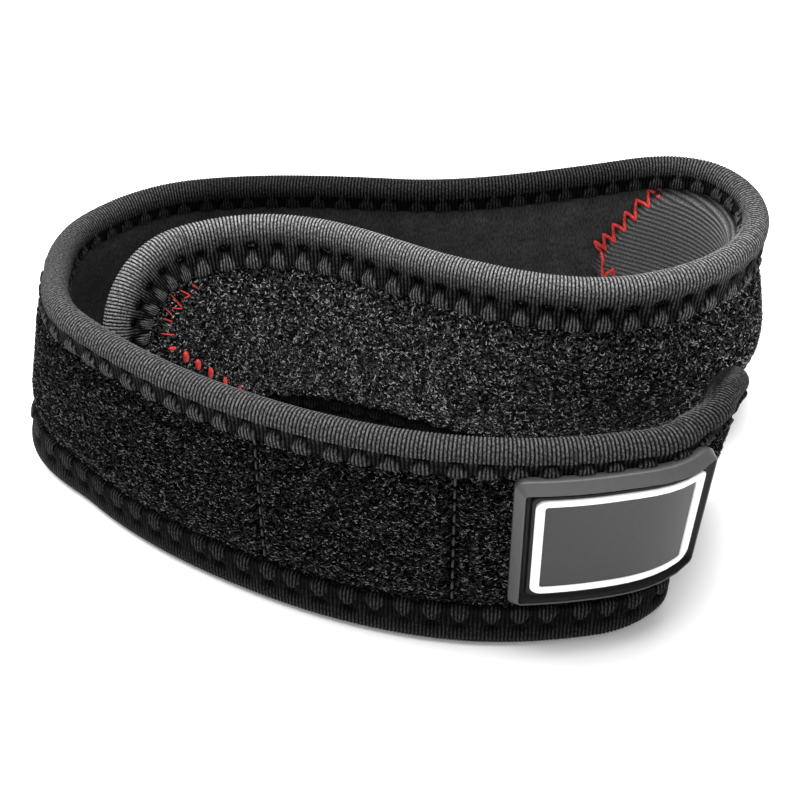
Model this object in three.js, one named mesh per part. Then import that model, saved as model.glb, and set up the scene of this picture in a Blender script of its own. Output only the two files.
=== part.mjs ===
// A knee strap: one padded band that stands on its lower edge.
// It is coiled so that the free end lies inside the loop and the labelled end closes the front.
// Millimetres, +Z up, the front of the loop looks along -Y.
// Every piece is drawn flat first: u runs along the band, w across it and v through it.
// v is positive on the loop side. The function coil then stands the flat drawing up along the route.
import * as THREE from 'three';

// Band
const bandLength = 437;
const bandWidth = 42;
const bindingThick = 4.6; // over both legs of the folded tape
const tapeWall = 0.9;
const outerHem = 9.3; // tape leg on the loop side
const liningHem = 5.5; // tape leg on the lining side
const gap = 0.3; // between neighbouring pieces
const loopPad = 1.7; // how far the loop side swells past its flat edge
const liningPad = 1.0;
const hemMargin = 1.1; // flat margin between the tape's leg and the swelling
const padSlope = 5; // the loop side's swelling rises over this distance from the hem
const liningSlope = 2.5;
const seamDip = 0.9;
const seamHalf = 2.2;
const footFlat = 0.3; // the tape is pressed flat by this much where it stands

// Hook panel on the lining side
const hookThick = 1.0;
const hookMargin = 1; // between the panel and the tape's leg
const hookStart = 15.5; // from the free end to the panel's rounded point
const hookLength = 154;
const hookPoint = 15; // length of each rounded point

// Label near the outer end
const labelWidth = 27.5;
const labelHeight = 25.5;
const labelFromEnd = 41.6; // from the outer end to the label's middle
const labelRaise = 4.5; // above the middle of the band
const labelCorner = 2.2;
const frameWide = 1.9;
const frameHigh = 2.0;
const frameBevel = 0.8;
const grooveWide = 1.2;
const borderWide = 1.1;
const borderHigh = 1.3;
const borderCorner = 1.9;
const plateHigh = 1.1;

// Stitched seams across the front, as shares of the band's length from the free end
const seams = [{ at: 0.786 }, { at: 0.856 }];

// Mesh steps
const stationStep = 8;
const stationTurn = 13; // degrees
const endSteps = 16;
const routeSteps = 888;

// Route of the coil, a row for each stretch from the free end to the outer end:
// share of the length, turn to the left in degrees, lean of the top away from the loop's inside in degrees,
// and the part of outerHem that the tape's leg covers along the upper edge.
const startHeading = 77.5;
const stretches = [
  { name: 'tip', share: 8, turn: -35, lean: -8, hem: 1 },
  { name: 'tailLeft', share: 20, turn: -77, lean: -8, hem: 1 },
  { name: 'tailMiddle', share: 20, turn: 24, lean: -1, hem: 1 },
  { name: 'tailRight', share: 16, turn: 50, lean: 4, hem: 1 },
  { name: 'turnFront', share: 10, turn: 38, lean: 7, hem: 0.97 },
  { name: 'turnBack', share: 10, turn: 103, lean: 2, hem: 0.95 },
  { name: 'backRight', share: 16, turn: -13, lean: -1, hem: 0.9 },
  { name: 'backMiddle', share: 24, turn: -25, lean: -6, hem: 0.85 },
  { name: 'backLeft', share: 18, turn: 44, lean: -11, hem: 0.75 },
  { name: 'leftBack', share: 9, turn: 36, lean: -13, hem: 0.65 },
  { name: 'leftFront', share: 9, turn: 52, lean: -15, hem: 0.6 },
  { name: 'frontLeft', share: 14, turn: 16, lean: -4, hem: 0.62 },
  { name: 'frontMiddle', share: 24, turn: 17, lean: -3, hem: 0.66 },
  { name: 'frontRight', share: 15, turn: 20, lean: -3, hem: 0.56 },
  { name: 'labelLeft', share: 8.3, turn: 11, lean: -2, hem: 0.52 },
  { name: 'labelRight', share: 4.3, turn: 49, lean: 2, hem: 0.5 },
  { name: 'endStart', share: 4, turn: 0, lean: 13, hem: 0.5 },
  { name: 'outerEnd', share: 9.6, turn: 10, lean: 19, hem: 0.5 },
];

const halfWidth = bandWidth / 2;
const halfThick = bindingThick / 2;
const layerInset = tapeWall + 2 * gap;
const layerEdge = halfThick - tapeWall - gap;
const hookWidth = bandWidth - 2 * (liningHem + hookMargin);
const radians = THREE.MathUtils.degToRad;

// The middle of each stretch, as a share of the length
const shareSum = stretches.reduce((sum, row) => sum + row.share, 0);
let shareDone = 0;
for (const row of stretches) {
  row.middle = (shareDone + row.share / 2) / shareSum;
  row.bend = radians(row.turn) / (bandLength * row.share / shareSum);
  shareDone += row.share;
}

// A column of the table at a share of the length, straight or eased between the rows
function column(name, share, eased) {
  const last = stretches.length - 1;
  if (share <= stretches[0].middle) return stretches[0][name];
  if (share >= stretches[last].middle) return stretches[last][name];
  const i = stretches.findIndex((row) => row.middle > share) - 1;
  const raw = (share - stretches[i].middle) / (stretches[i + 1].middle - stretches[i].middle);
  const t = eased ? raw * raw * (3 - 2 * raw) : raw;
  return stretches[i][name] * (1 - t) + stretches[i + 1][name] * t;
}

// The route's plan, summed once in small steps
const plan = [{ x: 0, y: 0, heading: radians(startHeading) }];
for (let i = 0; i < routeSteps; i += 1) {
  const step = bandLength / routeSteps;
  const before = plan[i];
  const heading = before.heading + column('bend', (i + 0.5) / routeSteps, false) * step;
  const along = (before.heading + heading) / 2;
  plan.push({
    x: before.x + Math.cos(along) * step,
    y: before.y + Math.sin(along) * step,
    heading,
  });
}

function planAt(u) {
  const place = THREE.MathUtils.clamp(u / bandLength, 0, 1) * routeSteps;
  const i = Math.min(Math.floor(place), routeSteps - 1);
  const t = place - i;
  const mix = (key) => plan[i][key] * (1 - t) + plan[i + 1][key] * t;
  return { x: mix('x'), y: mix('y'), heading: mix('heading') };
}

// The standing place of a point of the flat drawing
function coil(u, v, w) {
  const at = planAt(u);
  const lean = radians(column('lean', u / bandLength, true));
  const outward = v * Math.cos(lean) + w * Math.sin(lean);
  const rise = w * Math.cos(lean) - v * Math.sin(lean);
  const middle = (halfWidth - halfThick) * Math.cos(lean) + halfThick;
  return new THREE.Vector3(
    at.x + Math.sin(at.heading) * outward,
    at.y - Math.cos(at.heading) * outward,
    Math.max(middle + rise, footFlat),
  );
}

// The nearest place of the outline, whose ends are half circles: its distance and its w
function outlineNear(u, w) {
  const endward = Math.max(halfWidth - u, u - (bandLength - halfWidth), 0);
  const out = Math.max(Math.hypot(endward, w), 0.001);
  return { away: halfWidth - out, w: halfWidth * w / out };
}

function smooth(t) {
  const s = THREE.MathUtils.clamp(t, 0, 1);
  return s * s * (3 - 2 * s);
}

// The tape's leg on the loop side: whole along the lower edge, and as the table says along the upper edge
function hemAt(u, w) {
  const upper = smooth((w / halfWidth + 1) / 2);
  return outerHem * (1 + (column('hem', u / bandLength, true) - 1) * upper);
}

function seamDepth(u) {
  const near = Math.min(...seams.map((seam) => Math.abs(u - seam.at * bandLength)));
  return seamDip * (1 - smooth(near / seamHalf));
}

function loopSurface(u, w) {
  const edge = outlineNear(u, w);
  const inside = edge.away - hemAt(u, edge.w) - hemMargin;
  const swell = smooth(inside / padSlope);
  return layerEdge + (loopPad - seamDepth(u)) * swell;
}

function liningSurface(u, w) {
  const inside = outlineNear(u, w).away - liningHem - hemMargin;
  return layerEdge + liningPad * smooth(inside / liningSlope);
}

// Places along the band, closer where it turns
function stationsBetween(from, to, extra = []) {
  const list = [from];
  let last = from;
  const fine = bandLength / routeSteps;
  for (let u = from + fine; u < to - fine; u += fine) {
    const turned = Math.abs(planAt(u).heading - planAt(last).heading);
    if (u - last >= stationStep || turned >= radians(stationTurn)) {
      list.push(u);
      last = u;
    }
  }
  list.push(to);
  const kept = list.filter((u) => u === from || u === to || extra.every((e) => Math.abs(e - u) > 1.5));
  const added = extra.filter((e) => e > from + 1 && e < to - 1);
  return [...kept, ...added].sort((a, b) => a - b);
}

// A closed mesh from rows of points. The rows close on themselves, and the ends are capped or joined
function skin(rows, joined) {
  const count = rows[0].length;
  const positions = rows.flat().flatMap((p) => [p.x, p.y, p.z]);
  const index = [];
  const last = joined ? rows.length : rows.length - 1;
  for (let i = 0; i < last; i += 1) {
    const here = i * count;
    const next = ((i + 1) % rows.length) * count;
    for (let j = 0; j < count; j += 1) {
      const k = (j + 1) % count;
      index.push(here + j, next + j, next + k, here + j, next + k, here + k);
    }
  }
  if (!joined) {
    const end = (rows.length - 1) * count;
    for (let j = 1; j < count - 1; j += 1) {
      index.push(0, j, j + 1, end, end + j + 1, end + j);
    }
  }
  if (signedVolume(positions, index) < 0) {
    for (let i = 0; i < index.length; i += 3) {
      [index[i], index[i + 1]] = [index[i + 1], index[i]];
    }
  }
  const geometry = new THREE.BufferGeometry();
  geometry.setAttribute('position', new THREE.Float32BufferAttribute(positions, 3));
  geometry.setIndex(index);
  geometry.computeVertexNormals();
  return geometry;
}

function signedVolume(positions, index) {
  const corner = (i) => new THREE.Vector3().fromArray(positions, index[i] * 3);
  let volume = 0;
  for (let i = 0; i < index.length; i += 3) {
    volume += corner(i).dot(corner(i + 1).cross(corner(i + 2))) / 6;
  }
  return volume;
}

// The band's outline as places with the direction inward, one loop
function bandOutline() {
  const list = [];
  const edge = straightStations();
  for (const u of edge) list.push({ u, w: halfWidth, inU: 0, inW: -1 });
  addRound(list, bandLength - halfWidth, 0, halfWidth, 1, -1, endSteps);
  for (const u of [...edge].reverse()) list.push({ u, w: -halfWidth, inU: 0, inW: 1 });
  addRound(list, halfWidth, 0, halfWidth, 3, 1, endSteps);
  return list;
}

// Adds the places inside a round stretch, without its first and last. The angles are in quarter turns
function addRound(list, middleU, middleW, radius, from, to, steps) {
  for (let i = 1; i < steps; i += 1) {
    const angle = (from + (to - from) * i / steps) * Math.PI / 2;
    const outU = Math.cos(angle);
    const outW = Math.sin(angle);
    list.push({ u: middleU + radius * outU, w: middleW + radius * outW, inU: -outU, inW: -outW });
  }
}

// Sweeps a section of {n, v} points round an outline, n being the distance inward
function sweep(outline, section) {
  const rows = outline.map((at) => section(at).map(
    ({ n, v }) => coil(at.u + n * at.inU, v, at.w + n * at.inW),
  ));
  return skin(rows, true);
}

// Folded tape
function bindingSection(at) {
  const hem = hemAt(at.u, at.w);
  const inner = halfThick - tapeWall;
  const fold = [65, 22, -22, -65].map((angle) => ({
    n: halfThick * (1 - Math.cos(radians(angle))),
    v: halfThick * Math.sin(radians(angle)),
  }));
  return [
    { n: hem, v: inner },
    { n: hem, v: halfThick - gap },
    { n: hem - 2 * gap, v: halfThick },
    { n: (hem + halfThick) / 2, v: halfThick },
    { n: halfThick, v: halfThick },
    ...fold,
    { n: halfThick, v: -halfThick },
    { n: liningHem - 2 * gap, v: -halfThick },
    { n: liningHem, v: gap - halfThick },
    { n: liningHem, v: -inner },
    { n: layerInset, v: -inner },
    { n: tapeWall + gap, v: gap - inner },
    { n: tapeWall + gap, v: inner - gap },
    { n: layerInset, v: inner },
    { n: (hem + layerInset) / 2, v: inner },
  ];
}

// Half width of the layers inside the tape at a place along the band
function layerHalf(u) {
  const radius = halfWidth - layerInset;
  const endward = Math.max(halfWidth - u, u - (bandLength - halfWidth), 0);
  return Math.sqrt(Math.max(radius * radius - endward * endward, 0));
}

// The stretch between the rounded ends, with places on both sides of each seam
function straightStations() {
  const marks = seams.flatMap(({ at }) => [-1, 0, 1].map((side) => at * bandLength + side * seamHalf));
  return stationsBetween(halfWidth, bandLength - halfWidth, marks);
}

function layerStations(hem) {
  const radius = halfWidth - layerInset;
  const angles = [14, 30, 46, 62, 77];
  const start = angles.map((angle) => halfWidth - radius * Math.cos(radians(angle)));
  start.push(hem + hemMargin);
  start.sort((a, b) => a - b);
  const end = start.map((u) => bandLength - u).reverse();
  return [...start, ...straightStations(), ...end];
}

// One half of the padded band: flat towards the other half, swollen outward
function layer(surface, upperHem, lowerHem, slope, side) {
  const rows = layerStations(lowerHem).map((u) => {
    const half = layerHalf(u);
    const top = Math.min(halfWidth - upperHem(u) - hemMargin, half * 0.85);
    const bottom = Math.min(halfWidth - lowerHem - hemMargin, half * 0.85);
    const across = [
      half, top, top - Math.min(slope / 2, top * 0.3), top - Math.min(slope, top * 0.6), 0,
      Math.min(slope, bottom * 0.6) - bottom, Math.min(slope / 2, bottom * 0.3) - bottom, -bottom, -half,
    ];
    const outer = across.map((w) => coil(u, side * surface(u, w), w));
    return [...outer, coil(u, side * gap / 2, -half), coil(u, side * gap / 2, half)];
  });
  return skin(rows, false);
}

const hookSeat = layerEdge + liningPad + 2 * gap;

// Half width of the hook panel, whose ends are rounded points
function hookHalf(u) {
  const end = hookStart + hookLength;
  const fromPoint = Math.min(u - hookStart, end - u);
  const t = THREE.MathUtils.clamp(fromPoint / hookPoint, 0, 1);
  return hookWidth / 2 * Math.sqrt(1 - (1 - t) * (1 - t));
}

function hookPanel() {
  const end = hookStart + hookLength;
  const shares = [0.03, 0.15, 0.35, 0.65];
  const start = shares.map((t) => hookStart + hookPoint * t);
  const finish = shares.map((t) => end - hookPoint * t).reverse();
  const places = [...start, ...stationsBetween(hookStart + hookPoint, end - hookPoint), ...finish];
  const rows = places.map((u) => {
    const half = hookHalf(u);
    const across = [half, half * 0.66, 0, -half * 0.66, -half];
    const inner = across.map((w) => coil(u, -hookSeat, w));
    const outer = [...across].reverse().map((w) => coil(u, -hookSeat - hookThick, w));
    return [...inner, ...outer];
  });
  return skin(rows, false);
}

// Label
const labelMiddle = bandLength - labelFromEnd;
const labelSeat = layerEdge + loopPad + gap;

// A rectangle with round corners as one loop of places with the direction inward
function labelOutline(inset, radius) {
  const halfLong = labelWidth / 2 - inset;
  const halfTall = labelHeight / 2 - inset;
  const list = [];
  const cornerSteps = 6;
  const cornerTurn = 1 / (cornerSteps - 2);
  const sideSteps = 6;
  for (let i = 0; i < 4; i += 1) {
    const signU = i < 2 ? 1 : -1;
    const signW = i % 3 ? -1 : 1;
    const cornerU = labelMiddle + signU * (halfLong - radius);
    const cornerW = labelRaise + signW * (halfTall - radius);
    addRound(list, cornerU, cornerW, radius, 1 - i + cornerTurn, -i - cornerTurn, cornerSteps);
    const outU = i % 2 ? 0 : signU;
    const outW = i % 2 ? signW : 0;
    for (let j = 1; j < sideSteps; j += 1) {
      const t = 1 - 2 * j / sideSteps;
      const sideU = outU * halfLong - outW * t * (halfLong - radius);
      const sideW = outW * halfTall + outU * t * (halfTall - radius);
      list.push({ u: labelMiddle + sideU, w: labelRaise + sideW, inU: -outU, inW: -outW });
    }
  }
  return list;
}

function labelFrame() {
  return sweep(labelOutline(0, labelCorner), () => [
    { n: 0, v: labelSeat },
    { n: 0, v: labelSeat + frameHigh - frameBevel },
    { n: frameBevel, v: labelSeat + frameHigh },
    { n: frameWide - frameBevel / 3, v: labelSeat + frameHigh },
    { n: frameWide, v: labelSeat + frameHigh - frameBevel / 3 },
    { n: frameWide, v: labelSeat },
  ]);
}

function labelBorder() {
  return sweep(labelOutline(frameWide + grooveWide, borderCorner), () => [
    { n: 0, v: labelSeat },
    { n: 0, v: labelSeat + borderHigh },
    { n: borderWide, v: labelSeat + borderHigh },
    { n: borderWide, v: labelSeat },
  ]);
}

function labelPlate() {
  const inset = frameWide + grooveWide + borderWide + gap;
  const halfLong = labelWidth / 2 - inset;
  const halfTall = labelHeight / 2 - inset;
  const steps = 8;
  const rows = [];
  for (let i = 0; i <= steps; i += 1) {
    const u = labelMiddle + halfLong * (2 * i / steps - 1);
    const half = i === 0 || i === steps ? halfTall - gap : halfTall;
    rows.push([
      coil(u, labelSeat, labelRaise + half),
      coil(u, labelSeat + plateHigh, labelRaise + half),
      coil(u, labelSeat + plateHigh, labelRaise - half),
      coil(u, labelSeat, labelRaise - half),
    ]);
  }
  return skin(rows, false);
}

const strap = new THREE.Group();

function addPiece(name, geometry, color, roughness) {
  const material = new THREE.MeshStandardMaterial({ color, roughness, metalness: 0 });
  const mesh = new THREE.Mesh(geometry, material);
  mesh.name = name;
  strap.add(mesh);
}

addPiece('edge_binding', sweep(bandOutline(), bindingSection), '#262626', 0.9);
addPiece('loop_fabric', layer(loopSurface, (u) => hemAt(u, halfWidth), outerHem, padSlope, 1), '#1b1b1b', 0.95);
addPiece('lining', layer(liningSurface, () => liningHem, liningHem, liningSlope, -1), '#2c2c2e', 0.9);
addPiece('hook_patch', hookPanel(), '#333335', 0.85);
addPiece('badge_frame', labelFrame(), '#4b4b4d', 0.5);
addPiece('badge_border', labelBorder(), '#e9e9e9', 0.6);
addPiece('badge_plate', labelPlate(), '#505052', 0.6);

// The origin is under the middle of the coil, on the surface that it stands on
const box = new THREE.Box3().setFromObject(strap);
const middle = box.getCenter(new THREE.Vector3());
strap.position.set(-middle.x, -middle.y, -box.min.z);
strap.updateMatrixWorld(true);

export default strap;
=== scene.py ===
# A padded knee strap that stands coiled on its lower edge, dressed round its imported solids.
# Every piece is drawn flat in millimetres: u along the band, w across it, v out of the loop side.
# The drawing is then stood up along the same route as the solids.
import math
import bpy
import numpy as np
from mathutils import Matrix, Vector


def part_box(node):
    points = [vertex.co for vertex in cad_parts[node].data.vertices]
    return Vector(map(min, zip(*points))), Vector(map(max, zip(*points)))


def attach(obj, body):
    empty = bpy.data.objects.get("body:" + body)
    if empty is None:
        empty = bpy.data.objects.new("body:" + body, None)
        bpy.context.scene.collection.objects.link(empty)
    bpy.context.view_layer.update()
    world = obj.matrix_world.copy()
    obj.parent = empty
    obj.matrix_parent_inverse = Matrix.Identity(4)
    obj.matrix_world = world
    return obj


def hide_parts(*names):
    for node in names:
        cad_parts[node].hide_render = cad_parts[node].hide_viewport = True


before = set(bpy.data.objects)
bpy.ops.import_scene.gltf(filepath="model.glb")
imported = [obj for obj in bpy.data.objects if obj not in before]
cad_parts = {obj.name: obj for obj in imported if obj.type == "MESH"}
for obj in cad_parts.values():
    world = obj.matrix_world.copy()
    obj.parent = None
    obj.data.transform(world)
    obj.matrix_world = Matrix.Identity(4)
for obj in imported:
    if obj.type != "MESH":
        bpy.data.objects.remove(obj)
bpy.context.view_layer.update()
dice = np.random.default_rng(11)

band = {
    "length": 437.0, "width": 42.0, "thick": 4.6, "tapeWall": 0.9, "gap": 0.3,
    "loopHem": 9.3, "liningHem": 5.5, "footFlat": 0.3, "heading": 77.5, "steps": 1772,
    "belly": 5.4, "bellyAt": 121, "bellyLong": 20, "bellyLow": -3, "bellyTall": 10,
}
# share of the length, turn to the left, lean outward (degrees), part of loopHem along the upper edge;
# the last rows keep the outer end's inside out of sight
stretches = np.array([
    (8, -35, -8, 1), (20, -77, -8, 1), (20, 24, -1, 1), (16, 50, 4, 1),
    (10, 38, 7, 0.97), (10, 103, 2, 0.95), (16, -13, -1, 0.9), (24, -25, -6, 0.85),
    (18, 44, -11, 0.75), (9, 36, -13, 0.65), (9, 52, -15, 0.6), (14, 16, -4, 0.62),
    (24, 17, -3, 0.66), (15, 20, -3, 0.56), (8.3, 11, -2, 0.52), (4.3, 45, 1, 0.5),
    (4, 0, 8, 0.5), (9.6, -12, 12, 0.5),
])
halfWidth = band["width"] / 2
halfThick = band["thick"] / 2
layerEdge = halfThick - band["tapeWall"] - band["gap"]
shares = stretches[:, 0] / stretches[:, 0].sum()
middles = np.cumsum(shares) - shares / 2


def smooth(t):
    s = np.clip(t, 0, 1)
    return s * s * (3 - 2 * s)


def eased(column, u):
    # a column of the table at a place along the band, eased between the rows
    share = np.clip(np.asarray(u, float) / band["length"], middles[0], middles[-1])
    i = np.clip(np.searchsorted(middles, share, side="right") - 1, 0, len(middles) - 2)
    t = smooth((share - middles[i]) / (middles[i + 1] - middles[i]))
    return stretches[i, column] * (1 - t) + stretches[i + 1, column] * t


def walkRoute():
    # the route's plan, summed once in small steps
    step = band["length"] / band["steps"]
    bends = np.radians(stretches[:, 1]) / (band["length"] * shares)
    along = (np.arange(band["steps"]) + 0.5) / band["steps"]
    heading = np.radians(band["heading"]) + np.r_[0, np.cumsum(np.interp(along, middles, bends)) * step]
    between = (heading[1:] + heading[:-1]) / 2
    x = np.r_[0, np.cumsum(np.cos(between)) * step]
    y = np.r_[0, np.cumsum(np.sin(between)) * step]
    return np.linspace(0, band["length"], band["steps"] + 1), x, y, heading


routeU, routeX, routeY, routeHeading = walkRoute()
origin = np.zeros(2)


def coil(u, v, w):
    # the standing place of points of the flat drawing, in metres
    u, v, w = np.broadcast_arrays(*(np.asarray(a, float) for a in (u, v, w)))
    over = u - np.clip(u, 0, band["length"])
    # the padded wall swells outward at the right turn
    aside, above = (u - band["bellyAt"]) / band["bellyLong"], (w - band["bellyLow"]) / band["bellyTall"]
    v = v + band["belly"] * np.exp(-(aside ** 2) - above ** 2)
    heading = np.interp(u, routeU, routeHeading)
    lean = np.radians(eased(2, u))
    outward = v * np.cos(lean) + w * np.sin(lean)
    rise = w * np.cos(lean) - v * np.sin(lean)
    x = np.interp(u, routeU, routeX) + np.sin(heading) * outward + np.cos(heading) * over - origin[0]
    y = np.interp(u, routeU, routeY) - np.cos(heading) * outward + np.sin(heading) * over - origin[1]
    z = (halfWidth - halfThick) * np.cos(lean) + halfThick + rise
    z = np.maximum(z, band["footFlat"]) - band["footFlat"]
    return np.stack([x, y, z], -1) * 0.001


def seatOnFrame():
    # the drawing's own corner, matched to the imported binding
    u, side, edge = np.meshgrid(routeU, (-halfThick, halfThick), (halfThick - halfWidth, halfWidth - halfThick))
    own = coil(u, side, edge).reshape(-1, 3)
    low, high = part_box("edge_binding")
    for axis in (0, 1):
        middle = (own[:, axis].min() + own[:, axis].max()) / 2
        origin[axis] = (middle - (low[axis] + high[axis]) / 2) * 1000


seatOnFrame()
print("route ready, origin", origin.round(2))


# Meshes from arrays
def gridFaces(rows, columns, loopColumns=False):
    i = np.arange(rows - 1)[:, None]
    j = np.arange(columns if loopColumns else columns - 1)[None, :]
    nextI, nextJ = i + 1, (j + 1) % columns
    faces = np.stack([i * columns + j, nextI * columns + j, nextI * columns + nextJ, i * columns + nextJ], -1)
    return faces.reshape(-1, 4)


def addPiece(name, points, faces, look, flat=None, tone=None):
    # points in metres, faces of 3 or 4 corners, flat = the drawing's place as texture coordinates in mm
    mesh = bpy.data.meshes.new(name)
    points = np.asarray(points, np.float32).reshape(-1, 3)
    faces = np.asarray(faces, np.int32)
    corners = faces.shape[1]
    mesh.vertices.add(len(points))
    mesh.vertices.foreach_set("co", points.ravel())
    mesh.loops.add(faces.size)
    mesh.loops.foreach_set("vertex_index", faces.ravel())
    mesh.polygons.add(len(faces))
    mesh.polygons.foreach_set("loop_start", np.arange(len(faces), dtype=np.int32) * corners)
    mesh.polygons.foreach_set("use_smooth", np.full(len(faces), True))
    if flat is not None:
        layer = mesh.uv_layers.new(name="flatPlace")
        layer.data.foreach_set("uv", np.asarray(flat, np.float32).reshape(-1, 2)[faces.ravel()].ravel())
    if tone is not None:
        shade = mesh.color_attributes.new("tone", "FLOAT_COLOR", "POINT")
        value = np.asarray(tone, np.float32).reshape(len(points), -1)
        one = np.ones((len(points), 1), np.float32)
        second = value[:, 1:2] if value.shape[1] > 1 else one
        shade.data.foreach_set("color", np.hstack([value[:, :1], second, value[:, :1], one]).ravel())
    mesh.update(calc_edges=True)
    mesh.validate()
    mesh.materials.append(look)
    piece = bpy.data.objects.new(name, mesh)
    bpy.context.scene.collection.objects.link(piece)
    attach(piece, "root")
    print("piece", name, len(faces), "faces")
    return piece


# Materials
def newLook(name, roughness, specular=0.5, sheen=0.0):
    look = bpy.data.materials.new(name)
    look.use_nodes = True
    nodes, links = look.node_tree.nodes, look.node_tree.links
    shader = nodes["Principled BSDF"]
    shader.inputs["Roughness"].default_value = roughness
    shader.inputs["Specular IOR Level"].default_value = specular
    shader.inputs["Sheen Weight"].default_value = sheen
    return look, nodes, links, shader


def node(nodes, kind, **settings):
    made = nodes.new(kind)
    for key, value in settings.items():
        if hasattr(made, key):
            setattr(made, key, value)
        else:
            made.inputs[key.replace("_", " ")].default_value = value
    return made


def flatPlace(nodes, links, scale=(1, 1, 1), turn=0.0):
    # the drawing's own millimetres as texture coordinates
    place = node(nodes, "ShaderNodeUVMap", uv_map="flatPlace")
    shift = node(nodes, "ShaderNodeMapping")
    shift.inputs["Scale"].default_value = scale
    shift.inputs["Rotation"].default_value = (0, 0, math.radians(turn))
    links.new(place.outputs["UV"], shift.inputs["Vector"])
    return shift.outputs["Vector"]


def ramp(nodes, links, source, stops):
    made = node(nodes, "ShaderNodeValToRGB")
    elements = made.color_ramp.elements
    while len(elements) < len(stops):
        elements.new(0.5)
    for element, (place, value) in zip(elements, stops):
        element.position = place
        element.color = (*value, 1) if hasattr(value, "__len__") else (value, value, value, 1)
    links.new(source, made.inputs["Fac"])
    return made.outputs["Color"]


def mixed(nodes, links, kind, first, second, amount=1.0):
    made = node(nodes, "ShaderNodeMix", data_type="RGBA", blend_type=kind)
    for source, socket in ((first, made.inputs[6]), (second, made.inputs[7]), (amount, made.inputs[0])):
        if hasattr(source, "links"):
            links.new(source, socket)
        else:
            socket.default_value = (*source, 1) if hasattr(source, "__len__") else source
    return made.outputs[2]


def calc(nodes, links, kind, *sources):
    made = node(nodes, "ShaderNodeMath", operation=kind)
    for source, socket in zip(sources, made.inputs):
        if hasattr(source, "links"):
            links.new(source, socket)
        else:
            socket.default_value = source
    return made.outputs[0]


def noise(nodes, links, scale, turn=0.0, detail=0.0, bend=0.0):
    made = node(nodes, "ShaderNodeTexNoise", noise_dimensions="2D", Scale=1.0, Detail=detail, Distortion=bend)
    links.new(flatPlace(nodes, links, (*scale, 1), turn), made.inputs["Vector"])
    return made.outputs["Fac"]


def toneOf(nodes, links):
    tone = node(nodes, "ShaderNodeVertexColor", layer_name="tone")
    parts = node(nodes, "ShaderNodeSeparateColor")
    links.new(tone.outputs["Color"], parts.inputs["Color"])
    return parts.outputs["Red"], parts.outputs["Green"]


def stripes(nodes, links, pitch, turn=0.0):
    # 1 on each rib's top, 0 in the grooves; the ribs cross the drawing's u axis
    parts = node(nodes, "ShaderNodeSeparateXYZ")
    links.new(flatPlace(nodes, links, (1, 1, 1), turn), parts.inputs["Vector"])
    part = calc(nodes, links, "FRACT", calc(nodes, links, "DIVIDE", parts.outputs["X"], pitch))
    return calc(nodes, links, "MULTIPLY", calc(nodes, links, "ABSOLUTE", calc(nodes, links, "SUBTRACT", part, 0.5)), 2.0)


def bumpFrom(nodes, links, shader, height, strength, distance):
    made = node(nodes, "ShaderNodeBump")
    made.inputs["Strength"].default_value = strength
    made.inputs["Distance"].default_value = distance
    links.new(height, made.inputs["Height"])
    links.new(made.outputs["Normal"], shader.inputs["Normal"])


tapeLook = {"color": (0.3, 0.3, 0.303), "rib": 0.6}


def makeTapeLook():
    look, nodes, links, shader = newLook("ribbedTape", 0.8, 0.02, 0.015)
    tone, ribShare = toneOf(nodes, links)
    rib = stripes(nodes, links, tapeLook["rib"])
    # painted shade: the ramp turns the grooves between the ribs near black and the rib tops light
    rib = ramp(nodes, links, rib, [(0.08, 0.03), (0.36, 0.16), (0.66, 0.78), (0.95, 1.0)])
    lines = mixed(nodes, links, "MIX", (0.42, 0.42, 0.42), rib, ribShare)
    yarn = noise(nodes, links, (3.4, 2.4), 0, 1.0)
    speck = ramp(nodes, links, yarn, [(0.36, 0.3), (0.5, 0.65), (0.62, 1.0)])
    lit = mixed(nodes, links, "MULTIPLY", mixed(nodes, links, "MULTIPLY", lines, speck), tone)
    links.new(mixed(nodes, links, "MULTIPLY", lit, tapeLook["color"]), shader.inputs["Base Color"])
    bumpFrom(nodes, links, shader, yarn, 0.5, 0.0002)
    return look


pileLook = {"dark": 0.001, "fibre": 0.2}


def curls(nodes, links, scale, turn, gateScale):
    # thin curled lines, broken into short dashes
    off = calc(nodes, links, "ABSOLUTE", calc(nodes, links, "SUBTRACT", noise(nodes, links, scale, turn, 0.0, 0.5), 0.5))
    thin = ramp(nodes, links, off, [(0.0, 1.0), (0.03, 0.75), (0.085, 0.0)])
    gate = ramp(nodes, links, noise(nodes, links, gateScale, turn + 50), [(0.42, 0.0), (0.56, 1.0)])
    return calc(nodes, links, "MULTIPLY", thin, gate)


def makePileLook():
    look, nodes, links, shader = newLook("loopPile", 0.9, 0.0)
    tone, _ = toneOf(nodes, links)
    straightCurls = curls(nodes, links, (1.2, 2.2), 0, (1.6, 1.6))
    slantedCurls = curls(nodes, links, (1.9, 1.6), 35, (1.4, 1.8))
    lines = calc(nodes, links, "MAXIMUM", straightCurls, slantedCurls)
    cloud = ramp(nodes, links, noise(nodes, links, (0.5, 0.7), 10, 2.0), [(0.35, 0.35), (0.65, 1.0)])
    dark, fibre = pileLook["dark"], pileLook["fibre"]
    # partly the pile's own loop pattern, partly painted glints: the curled dashes are painted bright over the
    # near-black base
    shade = ramp(nodes, links, calc(nodes, links, "MULTIPLY", lines, cloud), [(0.05, dark), (0.5, fibre * 0.4), (1.0, fibre)])
    links.new(mixed(nodes, links, "MULTIPLY", shade, tone), shader.inputs["Base Color"])
    bumpFrom(nodes, links, shader, lines, 0.6, 0.0003)
    return look


def makeFibreLook():
    look, nodes, links, shader = newLook("loopFibres", 0.7, 0.02)
    tone, _ = toneOf(nodes, links)
    links.new(mixed(nodes, links, "MULTIPLY", tone, (0.62, 0.62, 0.62)), shader.inputs["Base Color"])
    return look


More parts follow.
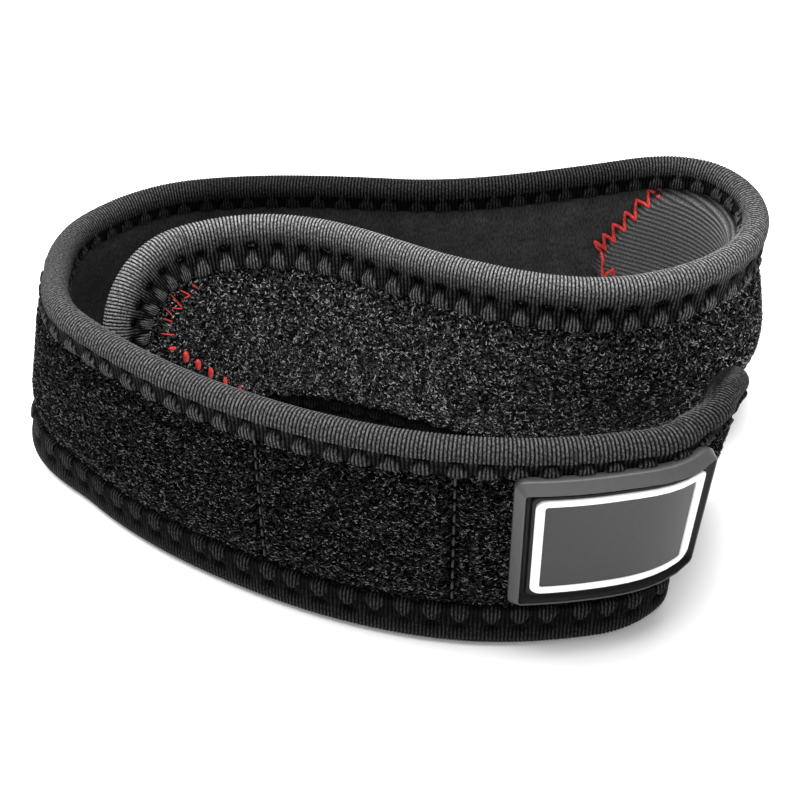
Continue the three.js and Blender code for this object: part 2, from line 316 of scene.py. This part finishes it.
def makeLiningLook():
    look, nodes, links, shader = newLook("liningKnit", 0.85, 0.05, 0.01)
    fine = noise(nodes, links, (3.6, 1.1), 0, 2.0)
    cloud = noise(nodes, links, (0.25, 0.25), 0, 3.0)
    base = ramp(nodes, links, cloud, [(0.3, 0.056), (0.7, 0.076)])
    weave = ramp(nodes, links, fine, [(0.35, 0.5), (0.65, 1.0)])
    links.new(mixed(nodes, links, "MULTIPLY", base, weave), shader.inputs["Base Color"])
    bumpFrom(nodes, links, shader, fine, 0.4, 0.0001)
    return look


hookLook = {"pitch": 1.0, "slopes": ((135, 143, 155, 165), (0.08, 0.1, 0.33, 0.5))}


def makeHookLook():
    look, nodes, links, shader = newLook("hookRibs", 0.7, 0.08, 0.02)
    tone, _ = toneOf(nodes, links)
    rib = stripes(nodes, links, hookLook["pitch"])
    grain = noise(nodes, links, (3.2, 3.2), 20, 2.0)
    line = ramp(nodes, links, rib, [(0.05, 0.08), (0.4, 0.19), (0.7, 0.3)])
    speck = ramp(nodes, links, grain, [(0.35, 0.4), (0.65, 1.0)])
    links.new(mixed(nodes, links, "MULTIPLY", mixed(nodes, links, "MULTIPLY", line, speck), tone), shader.inputs["Base Color"])
    bumpFrom(nodes, links, shader, rib, 0.7, 0.0003)
    return look


def makeThreadLook(name, color):
    look, nodes, links, shader = newLook(name, 0.5, 0.3, 0.1)
    shade = ramp(nodes, links, noise(nodes, links, (5, 5), 0, 2.0), [(0.35, 0.35), (0.6, 1.0)])
    links.new(mixed(nodes, links, "MULTIPLY", shade, color), shader.inputs["Base Color"])
    return look


def makeRubberLook(name, color, roughness, specular=0.5):
    look, nodes, links, shader = newLook(name, roughness, specular)
    grain = noise(nodes, links, (1.2, 1.2), 0, 4.0)
    tone, _ = toneOf(nodes, links)
    shade = mixed(nodes, links, "MULTIPLY", ramp(nodes, links, grain, [(0.3, 0.9), (0.7, 1.0)]), tone)
    links.new(mixed(nodes, links, "MULTIPLY", shade, color), shader.inputs["Base Color"])
    bumpFrom(nodes, links, shader, grain, 0.12, 0.0001)
    return look


looks = {
    "tape": makeTapeLook(),
    "pile": makePileLook(),
    "fibre": makeFibreLook(),
    "lining": makeLiningLook(),
    "hook": makeHookLook(),
    "redThread": makeThreadLook("redThread", (1.0, 0.065, 0.055)),
    "blackThread": makeThreadLook("blackThread", (0.004, 0.004, 0.004)),
    "rubber": makeRubberLook("labelRubber", (0.05, 0.05, 0.052), 0.42, 0.4),
    # painted shade: a darker copy of the label rubber for the recessed groove and ledge
    "groove": makeRubberLook("grooveShadeRubber", (0.012, 0.012, 0.012), 0.5, 0.15),
    "line": makeRubberLook("labelLine", (0.88, 0.88, 0.88), 0.55),
    "field": makeRubberLook("labelField", (0.034, 0.034, 0.035), 0.5, 0.3),
}
print("materials ready")


# Ribbed tape round the whole outline
tape = {
    "rib": tapeLook["rib"], "samples": 3, "ribHigh": 0.1, "scallop": 4.5, "tuftTall": 3.9, "tuftHigh": 0.45,
    "pitDeep": 0.8, "pitWide": 0.29, "pitTall": 0.24, "liningTall": 3.4, "betweenDark": 0.44, "rowDark": 0.5,
}
straight = band["length"] - band["width"]
roundLength = math.pi * halfWidth
outlineLength = 2 * (straight + roundLength)


def outline(s):
    # a place on the band's edge and the direction inward, s running clockwise from the upper edge's start
    s = np.mod(s, outlineLength)
    part = [s < straight, s < straight + roundLength, s < 2 * straight + roundLength]
    a = np.pi / 2 - (s - straight) / halfWidth
    b = -np.pi / 2 - (s - 2 * straight - roundLength) / halfWidth
    u = np.select(part, [halfWidth + s, band["length"] - halfWidth + halfWidth * np.cos(a),
                         band["length"] - halfWidth - (s - straight - roundLength)], halfWidth + halfWidth * np.cos(b))
    w = np.select(part, [halfWidth + 0 * s, halfWidth * np.sin(a), -halfWidth + 0 * s], halfWidth * np.sin(b))
    inU = np.select(part, [0 * s, -np.cos(a), 0 * s], -np.cos(b))
    inW = np.select(part, [-1 + 0 * s, -np.sin(a), 1 + 0 * s], -np.sin(b))
    return u, w, inU, inW


def hemAt(u, w):
    # the tape's leg is narrow along the lower edge of the free end
    upper = smooth((w / halfWidth + 1) / 2)
    lower = 0.5 + 0.5 * smooth((u - 225) / 50)
    return band["loopHem"] * (lower + (eased(3, u) - lower) * upper)


def scalloped(s, pitch, seed):
    # place inside the scallop from -0.5 to 0.5, and its own size
    count = int(round(outlineLength / pitch))
    jitter = np.random.default_rng(seed)
    shift, size = jitter.normal(0, 0.05, count), 1 + jitter.normal(0, 0.16, count)
    place = s / outlineLength * count
    k = np.floor(place).astype(int) % count
    return place - np.floor(place) - 0.5 - shift[k], size[k]


def tufts(n, hem, tall, s, seed):
    # raised fans along the tape's hem, each gathered into a pit at its top; y runs from the pit to the hem
    t, size = scalloped(s, tape["scallop"], seed)
    y = (n - (hem - tall)) / tall
    half = 0.09 + 0.23 * smooth(y * 1.4)
    fan = smooth((half - np.abs(t)) / 0.1 + 0.5) * smooth(y * 6 + 0.6)
    dome = np.maximum(np.sin(np.pi * np.clip(y * 0.88 + 0.12, 0, 1)), 0) ** 0.7
    pit = np.exp(-((t / tape["pitWide"]) ** 2) - ((y + 0.12) / tape["pitTall"]) ** 2) * size
    between = (1 - fan) * smooth(y * 3)
    notch = smooth((y - 0.7) / 0.25) * smooth((np.abs(t) - 0.24) / 0.16)
    lift = tape["tuftHigh"] * fan * dome * size - tape["pitDeep"] * pit - 0.2 * between
    # painted light and shade in the tone: a painted highlight on the raised fans, and painted shade in the pits,
    # between the fans, in the notches along the hem, beside the fans' necks and along the row of pits
    tone = 0.62 + 0.5 * fan * dome - tape["betweenDark"] * between
    tone = tone * (1 - np.clip(pit * 1.5, 0, 0.99)) * (1 - 0.95 * notch)
    neck = np.exp(-(((np.abs(t) - 0.23) / 0.1) ** 2) - ((y - 0.1) / 0.22) ** 2)
    tone = tone * (1 - 0.55 * neck) * (1 - tape["rowDark"] * np.exp(-(((y + 0.05) / 0.28) ** 2)))
    gather = -0.42 * t * tape["scallop"] * np.exp(-((t / 0.3) ** 2) - (np.maximum(y, 0) / 0.4) ** 2)
    gather = gather * smooth((y + 0.2) / 0.2)
    return lift, tone, gather, t


def paintedLightZones(u, w):
    # painted light and shade: the tape is painted greyer in some stretches of the upper edge, where less light falls,
    # and darkest along the lower edge, as shade
    places = (0, 120, 165, 240, 275, 300, 350, 400, 437)
    upper = np.interp(u, places, (1, 0.8, 0.14, 0.1, 0.42, 0.48, 0.4, 0.3, 0.08))
    lower = np.interp(u, (205, 245), (0.05, 0.15))
    return lower + (upper - lower) * smooth((w / halfWidth + 0.6) / 1.2)


def tapePiece(name, sFrom, sTo):
    step = tape["rib"] / tape["samples"]
    s = np.linspace(sFrom, sTo, int(round((sTo - sFrom) / step)) + 1)[:, None]
    ones = np.ones_like(s)
    u0, w0, _, _ = outline(s)
    hem = hemAt(u0, w0)
    # across the tape: loop side leg from its hem, the rim, lining side leg
    legA = np.r_[1.0, 1.0, np.linspace(0.95, 0.08, 15)][None, :]
    rim = np.radians(np.linspace(90, -90, 10))[None, :]
    legB = np.array([0.12, 0.28, 0.44, 0.6, 0.76, 0.92, 1.0, 1.0])[None, :]
    nA = halfThick + (hem - halfThick) * legA
    nB = halfThick + (band["liningHem"] - halfThick) * legB * ones
    n = np.hstack([nA, halfThick * (1 - np.cos(rim)) * ones, nB])
    v = np.hstack([halfThick * np.ones_like(nA), halfThick * np.sin(rim) * ones, -halfThick * np.ones_like(nB)])
    outN = np.hstack([0 * nA, -np.cos(rim) * ones, 0 * nB])
    outV = np.hstack([np.ones_like(nA), np.sin(rim) * ones, -np.ones_like(nB)])
    tall = np.minimum(tape["tuftTall"], 0.92 * (hem - halfThick))
    liftA, toneA, gatherA, t = tufts(nA, hem, tall, s, 5)
    liftB, toneB, gatherB, _ = tufts(nB, band["liningHem"], tape["liningTall"], s + 1.7, 6)
    middle = np.zeros((len(s), rim.size))
    # ribs, smoothed out where the band turns at the left
    ribWave = np.cos(2 * np.pi * s / tape["rib"])
    ribShare = 1 - 0.8 * np.exp(-(((u0 - 284) / 15) ** 2)) * (w0 > 0)
    lift = np.hstack([liftA, middle, liftB]) + tape["ribHigh"] * ribShare * ribWave
    n, v = n + outN * lift, v + outV * lift
    v[:, 0] = layerEdge - 0.2
    v[:, -1] = -layerEdge + 0.2
    v[:, 1] -= 0.6
    v[:, -2] += 0.4
    n[:, 0:3] += 0.3 * np.cos(2 * np.pi * t) * np.array([1, 1, 0.6])
    u, w, inU, inW = outline(s + np.hstack([gatherA, middle, gatherB]))
    tone = np.hstack([toneA, middle + 1, toneB]) * paintedLightZones(u0, w0)
    # painted shade: the grooves between the ribs are darkened most where the tape is gathered
    tone[:, :nA.shape[1]] *= 1 - 0.5 * smooth((nA - hem + tall * 1.3) / 1.2) * (0.5 - 0.5 * ribWave)
    # painted shade along both hem edges, where the tape meets the padded layers
    tone[:, [0, 1, -2, -1]] *= (0.1, 0.4, 0.4, 0.1)
    # painted shade on the inner half of the rim and the lining side's leg towards the outer end, where it faces into
    # the coil
    tone[:, nA.shape[1] + 6:] *= 1 - 0.85 * smooth((u0 - 412) / 8)
    across = np.cumsum(np.r_[0, np.hypot(np.diff(n.mean(0)), np.diff(v.mean(0)))])[None, :] * ones
    flat = np.stack([s * np.ones_like(n), across], -1)
    tones = np.stack([np.clip(tone, 0.02, 1), ribShare * np.ones_like(n)], -1).reshape(-1, 2)
    points, faces = coil(u + inU * n, v, w + inW * n), gridFaces(len(s), n.shape[1])
    return addPiece(name, points, faces, looks["tape"], flat, tones)


def makeTape():
    cuts = [0, straight * 0.5, straight, straight + roundLength + straight * 0.5, 2 * straight + roundLength, outlineLength]
    names = ["tapeUpperTail", "tapeUpperFront", "tapeOuterEndLower", "tapeLowerTail", "tapeFreeEnd"]
    made = [tapePiece(name, a, b) for name, a, b in zip(names, cuts[:-1], cuts[1:])]
    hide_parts("edge_binding")


makeTape()


# Padded layers
layer = {
    "loopPad": 1.7, "liningPad": 1.0, "hemMargin": 1.1, "loopSlope": 5.0, "liningSlope": 2.5,
    "seamDip": 1.0, "seamHalf": 1.5, "seams": (0.786, 0.856), "stepAlong": 0.7, "stepAcross": 0.7, "frontPaintedShade": 0.8,
}


def intoEnd(u):
    # how far a place lies past the start of a rounded end
    return np.maximum(np.maximum(halfWidth - u, u - (band["length"] - halfWidth)), 0)


def seamNear(u):
    return np.min([np.abs(u - at * band["length"]) for at in layer["seams"]], axis=0)


def edgeNear(u, w):
    # distance in from the outline, and the nearest edge's place across
    endward = intoEnd(u)
    out = np.maximum(np.hypot(endward, w), 0.001)
    return halfWidth - out, halfWidth * w / out


def loopSurface(u, w):
    away, edgeW = edgeNear(u, w)
    swell = smooth((away - hemAt(u, edgeW) - layer["hemMargin"] * 0.3) / layer["loopSlope"])
    dip = layer["seamDip"] * (1 - smooth(seamNear(u) / layer["seamHalf"]))
    return layerEdge + 0.5 + (layer["loopPad"] - 0.5 - dip) * swell


def liningSurface(u, w):
    away, _ = edgeNear(u, w)
    return layerEdge + layer["liningPad"] * smooth((away - band["liningHem"] - layer["hemMargin"] * 0.3) / layer["liningSlope"])


def shadeAt(u, w):
    # darker along the seams, and painted shade on the front and at the right turn, darker than on the free end
    layerShade = 1 - layer["frontPaintedShade"] * smooth((u - 200) / 90) - 0.45 * np.exp(-(((u - 118) / 26) ** 2))
    return (1 - 0.85 * np.exp(-((seamNear(u) / 0.55) ** 2))) * layerShade + 0 * w


def layerGrid(surface, side, inset, stepAlong, stepAcross):
    along = int(band["length"] / stepAlong)
    across = int((band["width"] - 2 * inset) / stepAcross)
    u = np.linspace(inset, band["length"] - inset, along)[:, None]
    half = np.sqrt(np.maximum((halfWidth - inset) ** 2 - intoEnd(u) ** 2, 0.01))
    w = half * np.linspace(side, -side, across)[None, :]
    points = coil(u, side * surface(u, w), w).reshape(-1, 3)
    flat = np.stack([u + 0 * w, w], -1).reshape(-1, 2)
    return points, gridFaces(along, across), flat, shadeAt(u, w).ravel()


def layerPiece(name, surface, side, look, solid, inset):
    face = layerGrid(surface, side, inset, layer["stepAlong"], layer["stepAcross"])
    core = layerGrid(lambda u, w: 0.15 + 0 * w, side, inset, 3.0, 3.0)
    faces = np.concatenate([face[1], core[1][:, ::-1] + len(face[0])])
    points, flat, tone = (np.concatenate([face[i], core[i]]) for i in (0, 2, 3))
    piece = addPiece(name, points, faces, look, flat, tone)
    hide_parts(solid)
    return piece


layerPiece("loopLayer", loopSurface, 1, looks["pile"], "loop_fabric", 2.5)
layerPiece("liningLayer", liningSurface, -1, looks["lining"], "lining", 2.5)


# Fibres of the loop pile, as small arched ribbons
fibre = {"count": 31500, "long": 0.62, "wide": 0.14, "high": 0.2}


def fibrePiece(name, uFrom, uTo, spread, count):
    u = dice.uniform(uFrom, uTo, count * 2)
    w = dice.uniform(-halfWidth + 4, halfWidth - 4, count * 2)
    away, edgeW = edgeNear(u, w)
    keep = np.flatnonzero(away > hemAt(u, edgeW) + 0.35)[:count]
    u, w = u[keep][:, None], w[keep][:, None]
    turn = dice.normal(0, spread, (len(u), 1))
    long = fibre["long"] * dice.uniform(0.5, 1.4, (len(u), 1))
    high = fibre["high"] * dice.uniform(0.3, 1.5, (len(u), 1))
    bow = dice.normal(0, 0.3, (len(u), 1)) * long
    t = np.linspace(-1, 1, 4)[None, :]
    line = t * long / 2
    side = bow * (1 - t * t)
    fu, fw = u + line * np.cos(turn) - side * np.sin(turn), w + line * np.sin(turn) + side * np.cos(turn)
    base = loopSurface(fu, fw)
    wide = fibre["wide"] / 2 * (1 - 0.7 * t * t) * dice.uniform(0.6, 1.4, (len(u), 1))
    lift = high * (1 - t * t) - 0.04
    tilt = dice.uniform(-0.5, 0.5, (len(u), 1)) * wide
    edges = [coil(fu - k * wide * np.sin(turn), base + lift + k * tilt, fw + k * wide * np.cos(turn)) for k in (-1, 1)]
    points = np.stack(edges, 2).reshape(-1, 3)
    faces = (gridFaces(4, 2)[None] + (np.arange(len(u)) * 8)[:, None, None]).reshape(-1, 4)
    # random brightness for each fibre, the darkest standing in for shade among the loops, times shadeAt's painted
    # shade
    bright = dice.choice([0.02, 0.12, 0.4, 1.0], len(u), p=[0.42, 0.24, 0.2, 0.14]) * shadeAt(u, w)[:, 0]
    return addPiece(name, points, faces, looks["fibre"], None, np.repeat(bright, 8))


def makeFibres():
    half = band["length"] / 2
    fibrePiece("pileTail", 3, half, 1.2, fibre["count"])
    fibrePiece("pileFront", half, band["length"] - 3, 0.5, fibre["count"])


makeFibres()


# Hook panel on the lining side
hook = {"thick": 1.0, "margin": 0.0, "start": 15.5, "long": 152.5, "point": 15.0, "seat": 0.6}
hookWidth = band["width"] - 2 * (band["liningHem"] + hook["margin"])
hookSeat = layerEdge + layer["liningPad"] + hook["seat"]


def hookHalf(u):
    # rounded at the free end, more pointed where the red zigzag holds it
    t = np.clip((u - hook["start"]) / hook["point"], 0, 1)
    first = np.sqrt(np.maximum(1 - (1 - t) ** 2, 0))
    e = np.clip((hook["start"] + hook["long"] - u) / hook["point"], 0, 1)
    return hookWidth / 2 * np.minimum(first, np.sin(e * np.pi / 2) ** 0.9)


def panelSurface(u, w):
    # height of the lining side with the panel on it
    over = smooth((hookHalf(u) - np.abs(w)) / 2.0)
    return liningSurface(u, w) * (1 - over) + (hookSeat + hook["thick"]) * over


def makeHookPanel():
    end = hook["start"] + hook["long"]
    u = hook["start"] + hook["long"] * (1 - np.cos(np.pi * np.linspace(0.004, 0.996, 260))) / 2
    u = u[:, None]
    half = hookHalf(u)
    across = np.linspace(1, -1, 34)[None, :]
    w = half * across
    edge = np.minimum(half * (1 - np.abs(across)), np.minimum(u - hook["start"], end - u))
    v = -(hookSeat + hook["thick"] * (-0.5 + 1.5 * smooth(edge / 2.2)))
    top = coil(u, v, w)
    low = coil(u, -hookSeat + 0.9 + 0 * w, w)
    points = np.concatenate([top.reshape(-1, 3), low.reshape(-1, 3)])
    size = u.size * across.size
    faces = gridFaces(u.size, across.size)[:, ::-1]
    rimIndex = np.concatenate([
        np.arange(across.size), np.arange(1, u.size) * across.size + across.size - 1,
        (u.size - 1) * across.size + np.arange(across.size - 2, -1, -1), np.arange(u.size - 2, 0, -1) * across.size,
    ])
    nextIndex = np.roll(rimIndex, -1)
    wall = np.stack([rimIndex, nextIndex, nextIndex + size, rimIndex + size], -1)
    faces = np.concatenate([faces, wall, gridFaces(u.size, across.size) + size])
    # the ribs run along the panel at a slant that grows towards its sewn end
    slopes = np.interp(routeU, *hookLook["slopes"])
    rise = np.r_[0, np.cumsum((slopes[1:] + slopes[:-1]) / 2 * np.diff(routeU))]
    flat = np.stack([w - np.interp(u, routeU, rise), u + 0 * w], -1).reshape(-1, 2)
    # painted shade: the panel darkens towards its edges
    tone = (0.35 + 0.65 * smooth(edge / 4) + 0 * w).ravel()
    piece = addPiece("hookPanel", points, faces, looks["hook"], np.concatenate([flat, flat]), np.tile(tone, 2))
    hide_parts("hook_patch")


makeHookPanel()


# Threads
def tubePiece(name, lines, radius, look, sides=6):
    # lines are lists of (u, v, w) points in the drawing
    points, faces, flats, base = [], [], [], 0
    for line in lines:
        line = np.asarray(line, float)
        ahead = np.gradient(line, axis=0)
        ahead /= np.linalg.norm(ahead, axis=1)[:, None]
        up = np.array([0.0, 1.0, 0.0])
        sideways = np.cross(ahead, up)
        sideways /= np.maximum(np.linalg.norm(sideways, axis=1)[:, None], 1e-6)
        upward = np.cross(sideways, ahead)
        angle = np.linspace(0, 2 * np.pi, sides, endpoint=False)
        fade = np.minimum(1, 0.35 + 4 * np.minimum(np.linspace(0, 1, len(line)), np.linspace(1, 0, len(line))))
        ring = line[:, None] + radius * fade[:, None, None] * (
            np.cos(angle)[None, :, None] * sideways[:, None] + np.sin(angle)[None, :, None] * upward[:, None])
        points.append(coil(ring[..., 0], ring[..., 1], ring[..., 2]).reshape(-1, 3))
        faces.append(gridFaces(len(line), sides, loopColumns=True) + base)
        flats.append(np.stack([ring[..., 0], ring[..., 2]], -1).reshape(-1, 2))
        base += len(line) * sides
    return addPiece(name, np.concatenate(points), np.concatenate(faces), look, np.concatenate(flats))


# the red threads' turning points in the drawing, (u, w); the tip's are separate stitches with their thickness
zigzag = {
    "radius": 0.33,
    "tip": [
        (0.16, (20.7, 10.7), (21.6, 9.6)), (0.15, (18.2, 10.4), (19.8, 9.0), (18.6, 8.8)),
        (0.13, (16.4, 10.3), (17.6, 7.2), (15.8, 7.9)), (0.13, (14.7, 8.2), (15.4, 6.2)), (0.13, (15.0, 5.6), (13.4, 6.8)),
        (0.16, (12.2, 4.3), (14.6, 3.1)), (0.36, (12.4, 1.1), (14.0, 0.6)), (0.62, (15.9, -1.2), (15.4, -3.1)),
        (0.6, (18.2, -3.9), (17.7, -5.8)), (0.58, (20.6, -6.6), (20.1, -8.5)), (0.5, (23.4, -9.7), (22.9, -11.6)),
        (0.4, (26.4, -12.4), (25.9, -14.2)),
    ],
    "back": [
        (155.3, 15.5), (155.5, 13.9), (157.7, 15.2), (157.6, 12.4), (160.2, 13.6), (160.2, 9.9), (162.3, 11.3),
        (162.2, 7.6), (164.5, 8.9), (164.0, 5.3), (166.3, 6.9), (165.5, 3.4), (167.8, 5.5), (167.2, 3.9), (166.3, 3.2),
        (166.3, 0.5), (166.0, -2.1), (164.8, -1.3), (163.8, -0.7), (163.4, -3.1), (161.5, -5.0), (163.5, -6.5),
        (160.0, -8.0), (161.5, -10.0), (157.5, -10.5), (158.0, -12.5),
    ],
}


def sewnLine(a, b, surface, side, sink):
    # one stitch between two holes, arched over the cloth
    t = np.linspace(0, 1, 9)
    u, w = a[0] + (b[0] - a[0]) * t, a[1] + (b[1] - a[1]) * t
    v = surface(u, w) + 0.34 * np.sin(np.pi * t) ** 0.7 - sink
    return np.stack([u, side * v, w], -1)


def makeRedThread():
    groups = {}
    for radius, *points in zigzag["tip"]:
        for a, b in zip(points[:-1], points[1:]):
            groups.setdefault(radius, []).append(sewnLine(a, b, loopSurface, 1, 0.06))
    for index, (radius, lines) in enumerate(groups.items()):
        tubePiece(f"redZigzagTip{index}", lines, radius, looks["redThread"], 8)
    lines = [sewnLine(a, b, panelSurface, -1, 0.0) for a, b in zip(zigzag["back"][:-1], zigzag["back"][1:])]
    tubePiece("redZigzagBack", lines, zigzag["radius"], looks["redThread"], 8)


makeRedThread()


def makeSeamStitches():
    lines = []
    for share in layer["seams"]:
        at = share * band["length"]
        for w in np.arange(-10.5, 14.5, 2.4):
            t = np.linspace(0, 1, 7)
            lw = w + 1.9 * t
            lu = at + 0 * t
            lines.append(np.stack([lu, loopSurface(lu, lw) + 0.18 * np.sin(np.pi * t), lw], -1))
    tubePiece("seamStitches", lines, 0.2, looks["blackThread"])


makeSeamStitches()


# Label
label = {
    "long": 27.5, "tall": 25.5, "fromEnd": 41.6, "raise": 4.5,
    "frameWide": 1.5, "frameHigh": 1.85, "groove": 1.0, "ledge": 0.5, "lineWide": 1.35, "plate": 1.0,
    "along": 0.6, "sink": 0.4, "tilt": 0.028, "endSide": 0.42,
}
labelMiddle = band["length"] - label["fromEnd"]
labelSeat = layerEdge + layer["loopPad"] + band["gap"]


def labelPlace(u, w):
    # the label sits slightly turned on the band
    return labelMiddle + label["along"] + u, label["raise"] - label["sink"] + w + label["tilt"] * u


def roundBox(inset, radius, cornerSteps=8, sideSteps=10):
    halfLong, halfTall = label["long"] / 2 - inset, label["tall"] / 2 - inset
    places = []
    for i in range(4):
        signU, signW = (1 if i < 2 else -1), (1 if i in (0, 3) else -1)
        for angle in np.linspace(math.pi / 2, 0, cornerSteps) - i * math.pi / 2:
            places.append((signU * (halfLong - radius) + radius * math.cos(angle),
                           signW * (halfTall - radius) + radius * math.sin(angle)))
        outU, outW = (signU, 0) if i % 2 == 0 else (0, signW)
        for t in np.linspace(1, -1, sideSteps + 2)[1:-1]:
            places.append((outU * halfLong - outW * t * (halfLong - radius), outW * halfTall + outU * t * (halfTall - radius)))
    places = np.array(places)
    # the frame is narrower on the side of the outer end
    near = min(inset, label["frameWide"] + label["groove"] + label["ledge"]) * (1 - label["endSide"])
    places[:, 0] += near * smooth((places[:, 0] / halfLong + 1) / 2)
    return np.stack(labelPlace(places[:, 0], places[:, 1]), -1)


def ringPiece(name, section, look, solid=None):
    # section is a list of (inset, height, corner radius)
    loops = [(roundBox(inset, radius), labelSeat + high) for inset, high, radius in section]
    flat = np.stack([places for places, _ in loops])
    height = np.stack([np.full(len(places), high) for places, high in loops])
    points = coil(flat[..., 0], height, flat[..., 1])
    faces = gridFaces(len(section), flat.shape[1], loopColumns=True)
    # painted shade: the rubber is darker along its lower side and on the side of the seams
    seamSide = smooth((labelMiddle - label["long"] / 2 + 2 - flat[..., 0]) / 1.5)
    tone = 0.78 + 0.22 * (flat[..., 1] - label["raise"]) / label["tall"] * 2 - 0.3 * seamSide
    if solid == "badge_border":
        tone = np.ones_like(tone)
    piece = addPiece(name, points, faces, look, flat, tone)
    if solid:
        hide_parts(solid)
    return piece


def makeLabel():
    wide, high = label["frameWide"], label["frameHigh"]
    ringPiece("labelFrame", [
        (0.05, -0.8, 1.6), (0.0, 0.0, 1.6), (0.0, 0.4, 1.6), (0.06, 0.52, 1.55), (0.18, 0.62, 1.4),
        (1.2, high - 0.12, 0.75), (1.28, high - 0.02, 0.65), (1.36, high, 0.55), (wide - 0.05, high - 0.04, 0.45),
        (wide, high - 0.14, 0.4),
    ], looks["rubber"], "badge_frame")
    tray = wide + label["groove"]
    line = tray + label["ledge"]
    inner = line + label["lineWide"]
    top = label["plate"]
    # the groove and ledge take the darker rubber as painted shade
    ringPiece("labelTray", [
        (wide, high - 0.14, 0.4), (wide, 0.95, 0.4), (wide + 0.2, 0.9, 0.4), (wide + 0.22, 0.12, 0.5), (tray - 0.02, 0.12, 1.0),
        (tray, 0.2, 1.0), (tray, top - 0.1, 1.0), (tray + 0.08, top, 0.95), (line, top, 1.1), (line + 0.05, top - 0.1, 1.1),
    ], looks["groove"])
    ringPiece("labelLine", [
        (line, top - 0.3, 1.7), (line, top + 0.12, 1.7), (line + 0.1, top + 0.22, 1.65),
        (inner - 0.1, top + 0.22, 0.55), (inner, top + 0.12, 0.5), (inner, top - 0.3, 0.5),
    ], looks["line"], "badge_border")
    steps = 24
    halfLong, halfTall = label["long"] / 2 - inner + 0.1, label["tall"] / 2 - inner + 0.1
    right = halfLong + tray * (1 - label["endSide"])
    across, up = np.meshgrid(np.linspace(-halfLong, right, steps), np.linspace(halfTall, -halfTall, steps), indexing="ij")
    u, w = labelPlace(across, up)
    points = coil(u, labelSeat + top + 0 * w, w)
    # painted light: the field is lighter towards the outer end and the top
    tone = 0.8 + 0.1 * across / halfLong + 0.1 * up / halfTall
    field = addPiece("labelField", points, gridFaces(steps, steps), looks["field"], np.stack([u, w], -1), tone)
    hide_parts("badge_plate")


makeLabel()


# Floor, light and camera
studio = {"floor": 0.9, "world": 0.65, "key": 20.0, "fill": 1.0}
view = {"place": (2.12, -157.71, 158.7), "pitch": 42.0, "roll": -1.05, "lens": 54.0, "shiftY": -0.0017}


def makeFloor():
    half = 3.0
    mesh = bpy.data.meshes.new("studioFloor")
    mesh.from_pydata([(-half, -half, 0), (half, -half, 0), (half, half, 0), (-half, half, 0)], [], [(0, 1, 2, 3)])
    look, nodes, links, shader = newLook("paleFloor", 0.9, 0.2)
    shade = studio["floor"]
    shader.inputs["Base Color"].default_value = (shade, shade, shade, 1)
    mesh.materials.append(look)
    floor = bpy.data.objects.new("studioFloor", mesh)
    bpy.context.scene.collection.objects.link(floor)


def addLight(name, place, size, watts):
    light = bpy.data.lights.new(name, "AREA")
    light.shape = "DISK"
    light.size = size
    light.energy = watts
    made = bpy.data.objects.new(name, light)
    made.location = place
    made.rotation_mode = "QUATERNION"
    made.rotation_quaternion = (-made.location).to_track_quat("-Z", "Y")
    bpy.context.scene.collection.objects.link(made)


def makeStudio():
    world = bpy.data.worlds.new("studioAir")
    world.use_nodes = True
    air = world.node_tree.nodes["Background"]
    air.inputs["Color"].default_value = (1, 1, 1, 1)
    air.inputs["Strength"].default_value = studio["world"]
    bpy.context.scene.world = world
    addLight("keyLight", (-0.12, 0.2, 0.8), 0.9, studio["key"])
    addLight("fillLight", (0.1, -0.7, 0.45), 0.5, studio["fill"])


def makeCamera():
    lens = bpy.data.cameras.new("photoCamera")
    lens.lens = view["lens"]
    lens.sensor_width = 36
    lens.shift_y = view["shiftY"]
    lens.clip_start = 0.005
    camera = bpy.data.objects.new("photoCamera", lens)
    pitch, roll = math.radians(view["pitch"]), math.radians(view["roll"])
    ahead = np.array([0, math.cos(pitch), -math.sin(pitch)])
    up, right = np.array([0, math.sin(pitch), math.cos(pitch)]), np.array([1, 0, 0])
    turned = math.cos(roll) * right + math.sin(roll) * up
    upright = math.cos(roll) * up - math.sin(roll) * right
    rows = np.eye(4)
    rows[:3, 0], rows[:3, 1], rows[:3, 2] = turned, upright, -ahead
    rows[:3, 3] = np.array(view["place"]) * 0.001
    camera.matrix_world = Matrix(rows.tolist())
    bpy.context.scene.collection.objects.link(camera)
    bpy.context.scene.camera = camera


makeFloor()
makeStudio()
makeCamera()
bpy.context.scene.view_settings.view_transform = "Standard"
print("studio ready")
